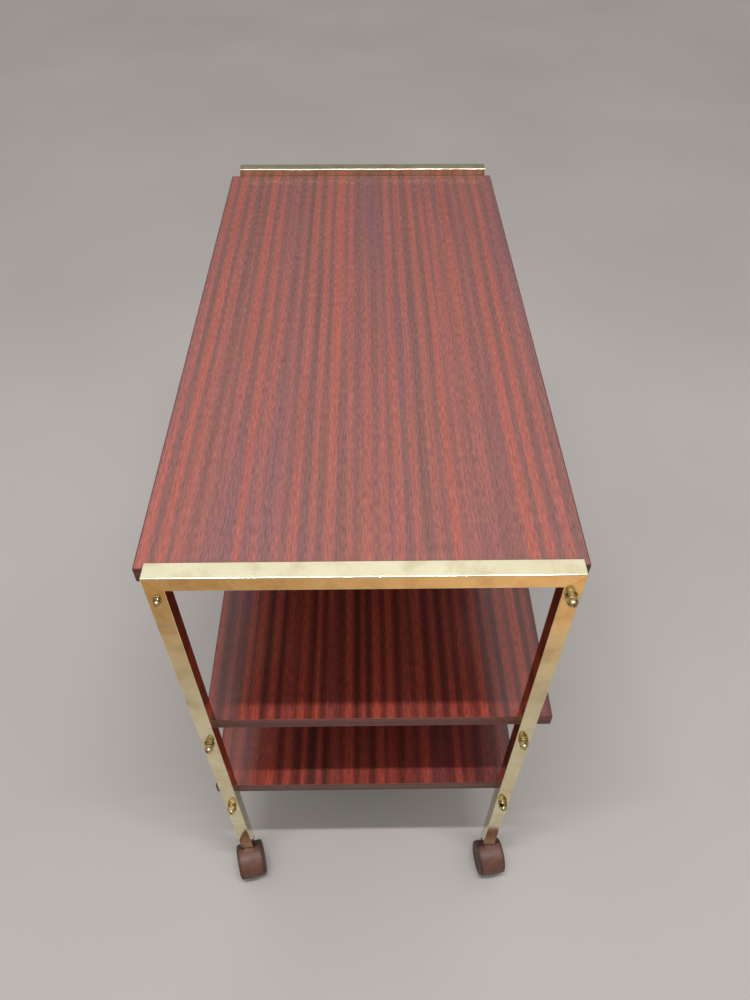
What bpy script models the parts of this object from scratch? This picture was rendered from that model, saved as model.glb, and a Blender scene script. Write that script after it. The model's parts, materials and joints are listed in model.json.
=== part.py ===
"""Serving trolley: two brass tube end frames, three laminate boards on tie rods, four twin-wheel casters.

Units are metres. +X is across the trolley, +Y along it, +Z up. The origin is on the floor, in the middle
of the trolley's footprint. Run with: blender --background --factory-startup --python part.py
"""

import math

import bmesh
import bpy
from mathutils import Matrix

# Overall
LENGTH = 0.800  # over the outer faces of the two end frames
FRAME_WIDTH = 0.380  # over the legs of one end frame
HEIGHT = 0.725  # floor to the top of the end bars
FACE_GAP = 0.0003  # between two pieces that bear on each other
BORE_GAP = 0.0003  # between a pin and its bore
PIN_SIDES = 12
HOLE_SIDES = 16

# End frames: square tube, mitred and welded into an upside-down U
TUBE = 0.018
TUBE_WALL = 0.0015
TUBE_EDGE = 0.0010
LEG_BOTTOM = 0.053

# Boards: laminate on chipboard, held between the frames
BOARD_WIDTH = 0.400
BOARD_THICKNESS = 0.018
BOARD_EDGE = 0.0005
BOARD_TOPS = {"top_board": 0.715, "middle_shelf": 0.429, "bottom_shelf": 0.240}
BOARD_SHIFTS = {"top_board": -0.002, "middle_shelf": 0.0145, "bottom_shelf": -0.002}

# M6 tie rods under the boards, with washers and cap nuts outside the legs
ROD_RADIUS = 0.003
ROD_IN_NUT = 0.0055
ROD_HOLE_RADIUS = 0.0034
WASHER_RADIUS = 0.006
WASHER_THICKNESS = 0.0016
NUT_ACROSS_FLATS = 0.010
NUT_HEX_HEIGHT = 0.0045
NUT_DOME_RADIUS = 0.00475
NUT_HEIGHT = 0.0092
NUT_BORE_DEPTH = 0.0068

# One rod end has no cap nut: it is rounded, and a small push-on washer holds it
BARE_END = "top_left_near"
BARE_ROD_END = 0.0055
PUSH_WASHER_RADIUS = 0.0045
PUSH_WASHER_THICKNESS = 0.0008

# Casters: two wheels on one axle, a hooded body between them, and a stem in the leg.
# Angles are seen from the caster's side, about the axle: 90 is up, and 180 is away from the stem.
WHEEL_RADIUS = 0.025
WHEEL_WIDTH = 0.012
WHEEL_INNER_FACE = 0.0073
WHEEL_SIDES = 24
WHEEL_SHOULDER = 0.0035
WHEEL_RIM = 0.0075
WHEEL_HUB_RADIUS = 0.0085
WHEEL_RECESS = 0.0012
TRAIL = 0.017
AXLE_RADIUS = 0.003
AXLE_IN_WHEEL = 0.0085
WEB_HALF_WIDTH = 0.007
WEB_RADIUS = 0.0260
WEB_FIN_ANGLE = 205
WEB_HUB_RADIUS = 0.014
WEB_HUB_ANGLE = 325
HOOD_HALF_WIDTH = 0.0155
HOOD_OUTER_RADIUS = 0.0262
HOOD_INNER_RADIUS = 0.0254
HOOD_STEM_ANGLE = 70
HOOD_FRONT_ANGLE = 170
STEM_RADIUS = 0.004
STEM_BOTTOM = 0.029
STEM_TOP = LEG_BOTTOM + 0.026
STEM_CHAMFER = 0.0010
STEM_GROOVE_BOTTOM = STEM_TOP - 0.009
STEM_GROOVE_HEIGHT = 0.003
STEM_BOSS_RADIUS = 0.007
STEM_BOSS_BOTTOM = 0.020
INSERT_FLANGE = 0.0013
INSERT_HEIGHT = 0.028
CASTER_TURNS = {"near_left": 14, "near_right": 8, "far_left": 11, "far_right": 5}

COLOURS = {
    "brass": ((0.72, 0.52, 0.22, 1), 0.18, 1.0),
    "laminate": ((0.18, 0.045, 0.04, 1), 0.40, 0.0),
    "plated_steel": ((0.60, 0.60, 0.58, 1), 0.30, 1.0),
    "brown_plastic": ((0.10, 0.045, 0.035, 1), 0.45, 0.0),
    "black_plastic": ((0.02, 0.018, 0.016, 1), 0.50, 0.0),
}


def start_scene():
    """An empty scene with one collection for the parts and one for the cutters."""
    for obj in list(bpy.data.objects):
        bpy.data.objects.remove(obj)
    made = []
    for name in ("serving_trolley", "cutters"):
        collection = bpy.data.collections.new(name)
        bpy.context.scene.collection.children.link(collection)
        made.append(collection)
    made[1].hide_render = True
    return made


def make_materials():
    made = {}
    for name, (colour, roughness, metallic) in COLOURS.items():
        material = bpy.data.materials.new(name)
        material.use_nodes = True
        shader = material.node_tree.nodes["Principled BSDF"]
        shader.inputs["Base Color"].default_value = colour
        shader.inputs["Roughness"].default_value = roughness
        shader.inputs["Metallic"].default_value = metallic
        material.diffuse_color = colour
        made[name] = material
    return made


PARTS, CUTTERS = start_scene()
MATERIALS = make_materials()


# ---------------------------------------------------------------- shapes


def mesh_of(bm, name):
    mesh = bpy.data.meshes.new(name)
    bm.to_mesh(mesh)
    bm.free()
    return mesh


def box_mesh(size, centre=(0, 0, 0), edge=0.0):
    """A box of this size, with its edges bevelled by edge."""
    bm = bmesh.new()
    bmesh.ops.create_cube(bm, size=1)
    bmesh.ops.scale(bm, vec=size, verts=bm.verts)
    if edge:
        bmesh.ops.bevel(
            bm,
            geom=bm.edges[:],
            offset=edge,
            segments=1,
            profile=0.5,
            affect="EDGES",
            material=-1,
        )
    bmesh.ops.translate(bm, vec=centre, verts=bm.verts)
    return mesh_of(bm, "box")


def cylinder_mesh(radius, bottom, top, sides, turn=0.0):
    """A closed cylinder or prism along Z, turned about Z by this many degrees."""
    bm = bmesh.new()
    bmesh.ops.create_cone(
        bm, cap_ends=True, segments=sides, radius1=radius, radius2=radius, depth=top - bottom
    )
    bmesh.ops.rotate(bm, matrix=Matrix.Rotation(math.radians(turn), 3, "Z"), verts=bm.verts)
    bmesh.ops.translate(bm, vec=(0, 0, (top + bottom) / 2), verts=bm.verts)
    return mesh_of(bm, "cylinder")


def arc(centre, radius, first, last, steps):
    """Points (a, b) on an arc from one angle to another, in degrees from +a towards +b."""
    points = []
    for step in range(steps + 1):
        angle = math.radians(first + (last - first) * step / steps)
        points.append((centre[0] + radius * math.cos(angle), centre[1] + radius * math.sin(angle)))
    return points


def turned_mesh(profile, steps, closed=False):
    """A profile of (radius, height) points, spun about Z. It runs down its outer side."""
    bm = bmesh.new()
    verts = [bm.verts.new((radius, 0, height)) for radius, height in profile]
    ends = verts[1:] + verts[:1] if closed else verts[1:]
    for a, b in zip(verts, ends):
        bm.edges.new((a, b))
    obj = bpy.data.objects.new("profile", mesh_of(bm, "profile"))
    CUTTERS.objects.link(obj)
    screw = obj.modifiers.new("Screw", "SCREW")
    screw.steps = screw.render_steps = steps
    screw.use_merge_vertices = True
    screw.merge_threshold = 0.00001
    return evaluated_mesh(obj)


def outline_mesh(points, half_thickness):
    """A flat closed outline in the plane of X and Y, thickened along Z."""
    curve = bpy.data.curves.new("outline", "CURVE")
    curve.dimensions = "2D"
    curve.fill_mode = "BOTH"
    curve.extrude = half_thickness
    spline = curve.splines.new("POLY")
    spline.points.add(len(points) - 1)
    for point, (x, y) in zip(spline.points, points):
        point.co = (x, y, 0, 1)
    spline.use_cyclic_u = True
    obj = bpy.data.objects.new("outline", curve)
    CUTTERS.objects.link(obj)
    mesh = evaluated_mesh(obj)
    bm = bmesh.new()
    bm.from_mesh(mesh)
    bmesh.ops.remove_doubles(bm, verts=bm.verts, dist=0.00001)
    bmesh.ops.recalc_face_normals(bm, faces=bm.faces)
    bm.to_mesh(mesh)
    bm.free()
    return mesh


def evaluated_mesh(obj):
    """The object's mesh with its modifiers applied. The object itself is removed."""
    bpy.context.view_layer.update()
    evaluated = obj.evaluated_get(bpy.context.evaluated_depsgraph_get())
    mesh = bpy.data.meshes.new_from_object(evaluated)
    bpy.data.objects.remove(obj)
    return mesh


def moved(mesh, matrix):
    mesh.transform(matrix)
    return mesh


def combined(mesh, *steps, edge=0.0):
    """The mesh with its sharp edges bevelled by edge, then joined to or cut by each step's mesh."""
    obj = bpy.data.objects.new("blank", mesh)
    CUTTERS.objects.link(obj)
    if edge:
        bevel = obj.modifiers.new("Bevel", "BEVEL")
        bevel.width = edge
        bevel.segments = 1
        bevel.limit_method = "ANGLE"
    tools = []
    for operation, other in steps:
        tool = bpy.data.objects.new("tool", other)
        tool.hide_render = True
        tool.display_type = "WIRE"
        CUTTERS.objects.link(tool)
        boolean = obj.modifiers.new(operation, "BOOLEAN")
        boolean.operation = operation
        boolean.object = tool
        tools.append(tool)
    made = evaluated_mesh(obj)
    for tool in tools:
        bpy.data.objects.remove(tool)
    return made


def place(name, mesh, material, parent, location=(0, 0, 0), rotation=(0, 0, 0)):
    """One named piece of the trolley. Its location and rotation are those under its parent."""
    if not mesh.materials:
        mesh.materials.append(MATERIALS[material])
    mesh.shade_smooth()
    mesh.set_sharp_from_angle(angle=math.radians(35))
    obj = bpy.data.objects.new(name, mesh)
    PARTS.objects.link(obj)
    obj.parent = parent
    obj.location = location
    obj.rotation_euler = [math.radians(angle) for angle in rotation]
    return obj


def empty(name, parent=None, location=(0, 0, 0), turn=0.0):
    obj = bpy.data.objects.new(name, None)
    PARTS.objects.link(obj)
    obj.parent = parent
    obj.location = location
    obj.rotation_euler.z = math.radians(turn)
    return obj


# ---------------------------------------------------------------- end frames and boards

LEG_X = FRAME_WIDTH / 2 - TUBE / 2  # the middle of a leg, from the middle of the trolley
LEG_Y = LENGTH / 2 - TUBE / 2
ROD_HEIGHTS = {
    name: top - BOARD_THICKNESS - FACE_GAP - ROD_RADIUS for name, top in BOARD_TOPS.items()
}


def u_outline(inset, bottom):
    """The U seen from the trolley's end, drawn inside the tube's outer faces by inset."""
    outer = FRAME_WIDTH / 2 - inset
    inner = FRAME_WIDTH / 2 - TUBE + inset
    top = HEIGHT - inset
    under = HEIGHT - TUBE + inset
    return [
        (-outer, bottom),
        (-outer, top),
        (outer, top),
        (outer, bottom),
        (inner, bottom),
        (inner, under),
        (-inner, under),
        (-inner, bottom),
    ]


def rod_hole_cutters():
    """One cylinder through each leg at each tie rod's height, in one mesh."""
    bm = bmesh.new()
    for x in (-LEG_X, LEG_X):
        for height in ROD_HEIGHTS.values():
            hole = cylinder_mesh(ROD_HOLE_RADIUS, -TUBE, TUBE, HOLE_SIDES)
            hole.transform(Matrix.Translation((x, height, 0)))
            bm.from_mesh(hole)
            bpy.data.meshes.remove(hole)
    return mesh_of(bm, "rod_holes")


def make_end_frames(root):
    hollow = outline_mesh(u_outline(TUBE_WALL, 0), TUBE / 2 - TUBE_WALL)
    mesh = combined(
        outline_mesh(u_outline(0, LEG_BOTTOM), TUBE / 2),
        ("DIFFERENCE", hollow),
        ("DIFFERENCE", rod_hole_cutters()),
        edge=TUBE_EDGE,
    )
    for end, y in (("near", -LEG_Y), ("far", LEG_Y)):
        place(end + "_end_frame", mesh, "brass", root, (0, y, 0), (90, 0, 0))


def make_boards(root):
    length = LENGTH - 2 * TUBE - 2 * FACE_GAP
    for name, top in BOARD_TOPS.items():
        mesh = box_mesh((BOARD_WIDTH, length, BOARD_THICKNESS), edge=BOARD_EDGE)
        height = top - BOARD_THICKNESS / 2
        place(name, mesh, "laminate", root, (BOARD_SHIFTS[name], 0, height))


# ---------------------------------------------------------------- tie rods, washers and cap nuts


def cap_nut_mesh():
    """A hexagon with a dome on it and a blind bore, standing on its bearing face."""
    hexagon = cylinder_mesh(NUT_ACROSS_FLATS / math.sqrt(3), 0, NUT_HEX_HEIGHT, 6, turn=30)
    foot = NUT_HEX_HEIGHT / 2
    curve = arc((0, NUT_HEIGHT - NUT_DOME_RADIUS), NUT_DOME_RADIUS, 90, 0, 4)
    profile = [(0, NUT_HEIGHT)] + curve[1:] + [(NUT_DOME_RADIUS, foot), (0, foot)]
    dome = turned_mesh(profile, PIN_SIDES)
    bore = cylinder_mesh(ROD_RADIUS + BORE_GAP, -NUT_HEX_HEIGHT, NUT_BORE_DEPTH, PIN_SIDES)
    return combined(hexagon, ("UNION", dome), ("DIFFERENCE", bore))


def washer_mesh(radius, thickness):
    inner = ROD_RADIUS + BORE_GAP
    profile = [(inner, thickness), (radius, thickness), (radius, 0), (inner, 0)]
    return turned_mesh(profile, HOLE_SIDES, closed=True)


def bare_rod_mesh(near, far):
    """A rod with a rounded near end, which is its upper one here."""
    end = arc((0, near - ROD_RADIUS), ROD_RADIUS, 90, 0, 3)
    return turned_mesh([(0, near), *end[1:], (ROD_RADIUS, -far), (0, -far)], PIN_SIDES)


def make_tie_rods(root):
    """Two rods under each board, each drawn up by a washer and a cap nut at both ends."""
    nut = cap_nut_mesh()
    washer = washer_mesh(WASHER_RADIUS, WASHER_THICKNESS)
    push_washer = washer_mesh(PUSH_WASHER_RADIUS, PUSH_WASHER_THICKNESS)
    washer_y = LENGTH / 2 + FACE_GAP
    nut_y = washer_y + WASHER_THICKNESS + FACE_GAP
    half = nut_y + ROD_IN_NUT
    rod = cylinder_mesh(ROD_RADIUS, -half, half, PIN_SIDES)
    bare_rod = bare_rod_mesh(LENGTH / 2 + BARE_ROD_END, half)
    for board, height in ROD_HEIGHTS.items():
        level = board.split("_")[0]
        for side, x in (("left", -LEG_X), ("right", LEG_X)):
            label = f"{level}_{side}"
            bare = BARE_END.startswith(label)
            bar = bare_rod if bare else rod
            place(label + "_tie_rod", bar, "plated_steel", root, (x, 0, height), (90, 0, 0))
            for end, sign in (("near", -1), ("far", 1)):
                label = f"{level}_{side}_{end}"
                turn = (-90 * sign, 0, 0)
                bare = label == BARE_END
                ring = push_washer if bare else washer
                place(label + "_washer", ring, "brass", root, (x, sign * washer_y, height), turn)
                if not bare:
                    place(label + "_cap_nut", nut, "brass", root, (x, sign * nut_y, height), turn)


# ---------------------------------------------------------------- casters

AXLE_POINT = (-TRAIL, WHEEL_RADIUS * math.cos(math.pi / WHEEL_SIDES))  # (along, height)
ALONG_TO_Y = Matrix(((0, 0, 1, 0), (1, 0, 0, 0), (0, 1, 0, 0), (0, 0, 0, 1)))


def side_shape(points, half_width):
    """An outline of (along, height) points seen from the caster's side, thickened across it."""
    return moved(outline_mesh(points, half_width), ALONG_TO_Y)


def cross_pin(radius, half_length, sides):
    """A cylinder across the caster, on the axle's line."""
    pin = cylinder_mesh(radius, -half_length, half_length, sides)
    place_on_axle = Matrix.Translation((0, AXLE_POINT[0], AXLE_POINT[1]))
    return moved(pin, place_on_axle @ Matrix.Rotation(math.radians(90), 4, "Y"))


def caster_body_mesh():
    """The web between the wheels, with the hood over them and the boss that turns on the stem."""
    top = AXLE_POINT[1] + WEB_RADIUS
    web = [
        (STEM_BOSS_RADIUS, STEM_BOSS_BOTTOM),
        (STEM_BOSS_RADIUS, top),
        (AXLE_POINT[0], top),
        *arc(AXLE_POINT, WEB_RADIUS, 100, WEB_FIN_ANGLE, 10),
        *arc(AXLE_POINT, WEB_HUB_RADIUS, WEB_FIN_ANGLE, WEB_HUB_ANGLE, 6),
    ]
    hood = arc(AXLE_POINT, HOOD_OUTER_RADIUS, HOOD_STEM_ANGLE, HOOD_FRONT_ANGLE, 12)
    hood += arc(AXLE_POINT, HOOD_INNER_RADIUS, HOOD_FRONT_ANGLE, HOOD_STEM_ANGLE, 12)
    stem_bore = cylinder_mesh(STEM_RADIUS + BORE_GAP, STEM_BOTTOM - FACE_GAP, HEIGHT, HOLE_SIDES)
    return combined(
        side_shape(web, WEB_HALF_WIDTH),
        ("UNION", side_shape(hood, HOOD_HALF_WIDTH)),
        ("DIFFERENCE", stem_bore),
        ("DIFFERENCE", cross_pin(AXLE_RADIUS + BORE_GAP, 2 * WEB_HALF_WIDTH, PIN_SIDES)),
    )


def wheel_mesh():
    """A wheel on its side: inner face at 0, outer face up, with a blind bore for the axle.

    It is turned by half a facet, so that it stands on a flat one.
    """
    bore = AXLE_RADIUS + BORE_GAP
    shoulder = (WHEEL_RADIUS - WHEEL_SHOULDER, WHEEL_WIDTH - WHEEL_SHOULDER)
    profile = [
        (0, WHEEL_WIDTH),
        (WHEEL_HUB_RADIUS, WHEEL_WIDTH),
        (WHEEL_HUB_RADIUS + WHEEL_RECESS, WHEEL_WIDTH - WHEEL_RECESS),
        (WHEEL_RADIUS - WHEEL_RIM - WHEEL_RECESS, WHEEL_WIDTH - WHEEL_RECESS),
        (WHEEL_RADIUS - WHEEL_RIM, WHEEL_WIDTH),
        *arc(shoulder, WHEEL_SHOULDER, 90, 0, 3),
        (WHEEL_RADIUS, 0),
        (bore, 0),
        (bore, AXLE_IN_WHEEL + FACE_GAP),
        (0, AXLE_IN_WHEEL + FACE_GAP),
    ]
    half_facet = math.pi / WHEEL_SIDES
    return moved(turned_mesh(profile, WHEEL_SIDES), Matrix.Rotation(half_facet, 4, "Z"))


def stem_mesh():
    """The steel stem, with the groove near its top that the plastic plug snaps into."""
    neck = STEM_RADIUS - STEM_CHAMFER
    profile = [
        (0, STEM_TOP),
        (neck, STEM_TOP),
        (STEM_RADIUS, STEM_TOP - STEM_CHAMFER),
        (STEM_RADIUS, STEM_GROOVE_BOTTOM + STEM_GROOVE_HEIGHT),
        (neck, STEM_GROOVE_BOTTOM + STEM_GROOVE_HEIGHT),
        (neck, STEM_GROOVE_BOTTOM),
        (STEM_RADIUS, STEM_GROOVE_BOTTOM),
        (STEM_RADIUS, STEM_BOTTOM),
        (0, STEM_BOTTOM),
    ]
    return turned_mesh(profile, PIN_SIDES)


def insert_mesh():
    """The plug in a leg's open end: a square body, a flange under the tube, and the stem's bore."""
    body = TUBE - 2 * TUBE_WALL - 2 * BORE_GAP
    flange_top = LEG_BOTTOM - FACE_GAP
    middle = flange_top - INSERT_FLANGE / 2
    plug = box_mesh((body, body, INSERT_HEIGHT), (0, 0, middle + INSERT_HEIGHT / 2))
    flange = box_mesh((TUBE, TUBE, INSERT_FLANGE), (0, 0, middle))
    bore = cylinder_mesh(STEM_RADIUS + BORE_GAP, 0, HEIGHT, HOLE_SIDES)
    return combined(plug, ("UNION", flange), ("DIFFERENCE", bore))


def make_casters(root):
    body = caster_body_mesh()
    axle = cross_pin(AXLE_RADIUS, WHEEL_INNER_FACE + AXLE_IN_WHEEL, PIN_SIDES)
    wheel = wheel_mesh()
    stem = stem_mesh()
    insert = insert_mesh()
    for corner, turn in CASTER_TURNS.items():
        end, side = corner.split("_")
        x = LEG_X if side == "right" else -LEG_X
        y = LEG_Y if end == "far" else -LEG_Y
        place(corner + "_caster_insert", insert, "black_plastic", root, (x, y, 0))
        place(corner + "_caster_stem", stem, "plated_steel", root, (x, y, 0))
        swivel = empty(corner + "_swivel", root, (x, y, 0), turn)
        place(corner + "_caster_body", body, "brown_plastic", swivel)
        place(corner + "_caster_axle", axle, "plated_steel", swivel)
        for hand, sign in (("left", -1), ("right", 1)):
            hub = (sign * WHEEL_INNER_FACE, AXLE_POINT[0], AXLE_POINT[1])
            on_edge = (0, 90 * sign, 0)
            name = f"{corner}_caster_{hand}_wheel"
            place(name, wheel, "brown_plastic", swivel, hub, on_edge)


def centre_on_footprint(root):
    """Moves the whole trolley so that the middle of its footprint is the origin."""
    bpy.context.view_layer.update()
    points = [
        obj.matrix_world @ vertex.co
        for obj in PARTS.objects
        if obj.type == "MESH"
        for vertex in obj.data.vertices
    ]
    for axis in (0, 1):
        low = min(point[axis] for point in points)
        high = max(point[axis] for point in points)
        root.location[axis] -= (low + high) / 2


def main():
    root = empty("trolley")
    make_end_frames(root)
    make_boards(root)
    make_tie_rods(root)
    make_casters(root)
    centre_on_footprint(root)


main()
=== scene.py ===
import json
import math

import bmesh
import bpy
from mathutils import Matrix, Vector


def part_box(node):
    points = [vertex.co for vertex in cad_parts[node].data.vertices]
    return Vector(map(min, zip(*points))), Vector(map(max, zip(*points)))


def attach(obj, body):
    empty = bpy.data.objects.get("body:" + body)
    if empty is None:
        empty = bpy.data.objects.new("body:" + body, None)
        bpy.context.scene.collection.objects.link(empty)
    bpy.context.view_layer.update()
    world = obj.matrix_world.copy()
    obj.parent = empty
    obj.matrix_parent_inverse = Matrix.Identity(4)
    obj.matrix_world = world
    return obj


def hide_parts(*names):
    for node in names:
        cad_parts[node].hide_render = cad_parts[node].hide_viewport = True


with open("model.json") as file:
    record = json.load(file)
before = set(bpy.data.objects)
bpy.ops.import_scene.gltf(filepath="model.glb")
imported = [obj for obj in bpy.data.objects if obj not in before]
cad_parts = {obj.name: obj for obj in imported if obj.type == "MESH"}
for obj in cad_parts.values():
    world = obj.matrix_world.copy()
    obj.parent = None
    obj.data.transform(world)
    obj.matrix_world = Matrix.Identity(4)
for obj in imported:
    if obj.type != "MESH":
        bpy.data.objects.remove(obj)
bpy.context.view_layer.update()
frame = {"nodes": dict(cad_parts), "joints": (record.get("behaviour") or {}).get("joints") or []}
print("frame loaded:", len(frame["nodes"]), "CAD nodes")

millimetre = 0.001


def linearOf(hexColour):
    # sRGB hex to linear RGBA
    channels = [int(hexColour[i:i + 2], 16) / 255 for i in (1, 3, 5)]
    return [c / 12.92 if c <= 0.04045 else ((c + 0.055) / 1.055) ** 2.4 for c in channels] + [1]


def addNode(tree, kind, settings={}, values={}, links={}, stops=None):
    # one shader node with its settings, fixed values, links and, on a ramp, its colour stops
    node = tree.nodes.new("ShaderNode" + kind)
    for key, value in settings.items():
        setattr(node, key, value)
    for socket, value in values.items():
        node.inputs[socket].default_value = value
    for socket, source in links.items():
        tree.links.new(source, node.inputs[socket])
    if stops:
        elements = node.color_ramp.elements
        while len(elements) < len(stops):
            elements.new(0.5)
        for element, (position, colour) in zip(elements, stops):
            element.position = position
            element.color = linearOf(colour)
    return node


def newMaterial(name, values):
    material = bpy.data.materials.new(name)
    material.use_nodes = True
    shader = material.node_tree.nodes["Principled BSDF"]
    for socket, value in values.items():
        shader.inputs[socket].default_value = value
    return material, material.node_tree, shader


def meshOf(bm):
    mesh = bpy.data.meshes.new("shape")
    bm.to_mesh(mesh)
    bm.free()
    return mesh


def tidyNormals(bm):
    bmesh.ops.remove_doubles(bm, verts=bm.verts, dist=0.002 * millimetre)
    bmesh.ops.recalc_face_normals(bm, faces=bm.faces)


def arc(centre, radius, first, last, steps):
    # points on an arc between two angles, in degrees
    angles = [math.radians(first + (last - first) * i / steps) for i in range(steps + 1)]
    return [(centre[0] + radius * math.cos(a), centre[1] + radius * math.sin(a)) for a in angles]


def turned(profile, steps, closed=False):
    # a profile of (radius, height) points in millimetres, spun round Z
    bm = bmesh.new()
    verts = [bm.verts.new((r * millimetre, 0, h * millimetre)) for r, h in profile]
    following = verts[1:] + verts[:1] if closed else verts[1:]
    edges = [bm.edges.new(pair) for pair in zip(verts, following)]
    bmesh.ops.spin(bm, geom=verts + edges, cent=(0, 0, 0), axis=(0, 0, 1),
                   angle=2 * math.pi, steps=steps, use_merge=True)
    tidyNormals(bm)
    return meshOf(bm)


def softEdges(bm, offset, segments):
    # rounds every edge whose faces meet at more than 30 degrees
    sharp = [e for e in bm.edges
             if len(e.link_faces) == 2 and e.calc_face_angle() > math.radians(30)]
    bmesh.ops.bevel(bm, geom=sharp, offset=offset * millimetre, segments=segments,
                    profile=0.5, affect="EDGES", material=-1)


def block(low, high, edge=0.0, segments=3):
    # a box between two corners in millimetres, with rounded edges
    low, high = Vector(low) * millimetre, Vector(high) * millimetre
    bm = bmesh.new()
    bmesh.ops.create_cube(bm, size=1)
    bmesh.ops.scale(bm, vec=high - low, verts=bm.verts)
    bmesh.ops.translate(bm, vec=(low + high) / 2, verts=bm.verts)
    if edge:
        softEdges(bm, edge, segments)
    return meshOf(bm)


def thicken(bm, faces, vec):
    # pulls flat faces into a solid along a vector
    made = bmesh.ops.extrude_face_region(bm, geom=faces)
    moved = [item for item in made["geom"] if isinstance(item, bmesh.types.BMVert)]
    bmesh.ops.translate(bm, vec=vec, verts=moved)
    tidyNormals(bm)


def slab(points, halfWidth, edge=0.0, segments=2):
    # an outline of (along, height) points in millimetres, made solid across
    bm = bmesh.new()
    corners = [bm.verts.new(Vector((-halfWidth, a, h)) * millimetre) for a, h in points]
    thicken(bm, [bm.faces.new(corners)], (2 * halfWidth * millimetre, 0, 0))
    if edge:
        softEdges(bm, edge, segments)
    return meshOf(bm)


def evaluated(obj):
    bpy.context.view_layer.update()
    graph = bpy.context.evaluated_depsgraph_get()
    mesh = bpy.data.meshes.new_from_object(obj.evaluated_get(graph))
    bpy.data.objects.remove(obj)
    return mesh


def helperObject(mesh):
    obj = bpy.data.objects.new("helper", mesh)
    bpy.context.scene.collection.objects.link(obj)
    return obj


def carved(mesh, *steps):
    # the mesh joined to, cut by or kept inside each step's mesh
    obj = helperObject(mesh)
    tools = []
    for operation, other in steps:
        tools.append(helperObject(other))
        boolean = obj.modifiers.new(operation, "BOOLEAN")
        boolean.operation = operation
        boolean.object = tools[-1]
    made = evaluated(obj)
    for tool in tools:
        bpy.data.objects.remove(tool)
    return made


def shaded(mesh):
    # smooth shading that keeps flats flat and creases crisp
    mesh.shade_smooth()
    mesh.set_sharp_from_angle(angle=math.radians(35))
    obj = helperObject(mesh)
    weighted = obj.modifiers.new("Weighted", "WEIGHTED_NORMAL")
    weighted.keep_sharp = True
    return evaluated(obj)


def place(name, mesh, placing, materials, body, node):
    # one visible piece: its place goes into its mesh, and it rides on its CAD body
    mesh = mesh.copy()
    mesh.transform(placing)
    mesh.materials.clear()
    for material in materials:
        mesh.materials.append(material)
    obj = bpy.data.objects.new(name, mesh)
    bpy.context.scene.collection.objects.link(obj)
    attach(obj, body)
    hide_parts(node)
    return obj


brassLook = {
    "clean": "#f2e7be", "worn": "#e3d4a6", "tarnish": "#b39a68",
    "smudgeSize": 55, "lineWidth": 1.1, "lineLength": 90,   # mm
    "rippleSize": 70, "ripple": 0.22, "scratch": 0.02,      # mm, mm high, mm deep
    "roughness": (0.035, 0.12), "lineShine": 0.06,          # what the lines add to roughness
    "tarnished": 0.35, "filmFineness": 2.6,                 # share, and how much finer than smudges
}


def polishedBrass(name, along, look):
    # mop-polished brass tube: a pale gold mirror with hand smudges, slow ripples of the
    # thin wall, and fine lines along the tube, drawn coarse enough to show
    material, tree, shader = newMaterial(name, {"Metallic": 1.0})
    where = addNode(tree, "TexCoord").outputs["Object"]
    fine = [1000 / (look["lineLength"] if axis == along else look["lineWidth"]) for axis in "XYZ"]
    lines = addNode(tree, "TexNoise", {}, {"Scale": 1.0, "Detail": 2.0}, {
        "Vector": addNode(tree, "Mapping", {}, {"Scale": fine}, {"Vector": where}).outputs[0]})
    smudges = addNode(tree, "TexNoise", {}, {
        "Scale": 1000 / look["smudgeSize"], "Detail": 4.0, "Roughness": 0.6}, {"Vector": where})
    film = addNode(tree, "TexNoise", {}, {
        "Scale": 1000 * look["filmFineness"] / look["smudgeSize"], "Detail": 5.0},
        {"Vector": where})
    slow = [1000 / look["rippleSize"] * (0.4 if axis == along else 1) for axis in "XYZ"]
    ripples = addNode(tree, "TexNoise", {}, {"Scale": 1.0, "Detail": 1.0}, {
        "Vector": addNode(tree, "Mapping", {}, {"Scale": slow}, {"Vector": where}).outputs[0]})

    tone = addNode(tree, "ValToRGB", {}, {}, {0: smudges.outputs[0]},
                   stops=[(0.38, look["worn"]), (0.60, look["clean"])])
    spots = addNode(tree, "MapRange", {}, {
        "From Min": 0.50, "From Max": 0.75, "To Max": look["tarnished"]},
                    {"Value": film.outputs[0]})
    colour = addNode(tree, "Mix", {"data_type": "RGBA"}, {7: linearOf(look["tarnish"])},
                     {0: spots.outputs[0], 6: tone.outputs[0]})
    low, high = look["roughness"]
    rough = addNode(tree, "MapRange", {}, {
        "From Min": 0.35, "From Max": 0.65, "To Min": low, "To Max": high},
        {"Value": smudges.outputs[0]})
    streaked = addNode(tree, "Math", {"operation": "MULTIPLY_ADD"}, {1: look["lineShine"]},
                       {0: lines.outputs[0], 2: rough.outputs[0]})
    wall = addNode(tree, "Bump", {}, {
        "Strength": 1.0, "Distance": look["ripple"] * millimetre}, {"Height": ripples.outputs[0]})
    scratch = addNode(tree, "Bump", {}, {
        "Strength": 0.2, "Distance": look["scratch"] * millimetre},
        {"Height": lines.outputs[0], "Normal": wall.outputs[0]})
    tree.links.new(colour.outputs[2], shader.inputs["Base Color"])
    tree.links.new(streaked.outputs[0], shader.inputs["Roughness"])
    tree.links.new(scratch.outputs[0], shader.inputs["Normal"])
    return material


brassUpright = polishedBrass("polishedBrassLeg", "Z", brassLook)
# the bar is the same brass as the legs; its paler tones paint a bright highlight over the whole bar
brassBarPaintedHighlight = polishedBrass("polishedBrassBarPaintedHighlight", "X", {
    **brassLook, "clean": "#f8f2d2", "worn": "#f0e7c4"})
brassTurned = polishedBrass("turnedBrass", "Y", {
    **brassLook, "clean": "#e6d4a2", "worn": "#a88a5e", "tarnish": "#5f4526", "smudgeSize": 4,
    "lineWidth": 0.5, "lineLength": 4, "rippleSize": 8, "ripple": 0.02,
    "roughness": (0.02, 0.07), "lineShine": 0.02, "tarnished": 0.8})
print("brass mixed")


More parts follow.
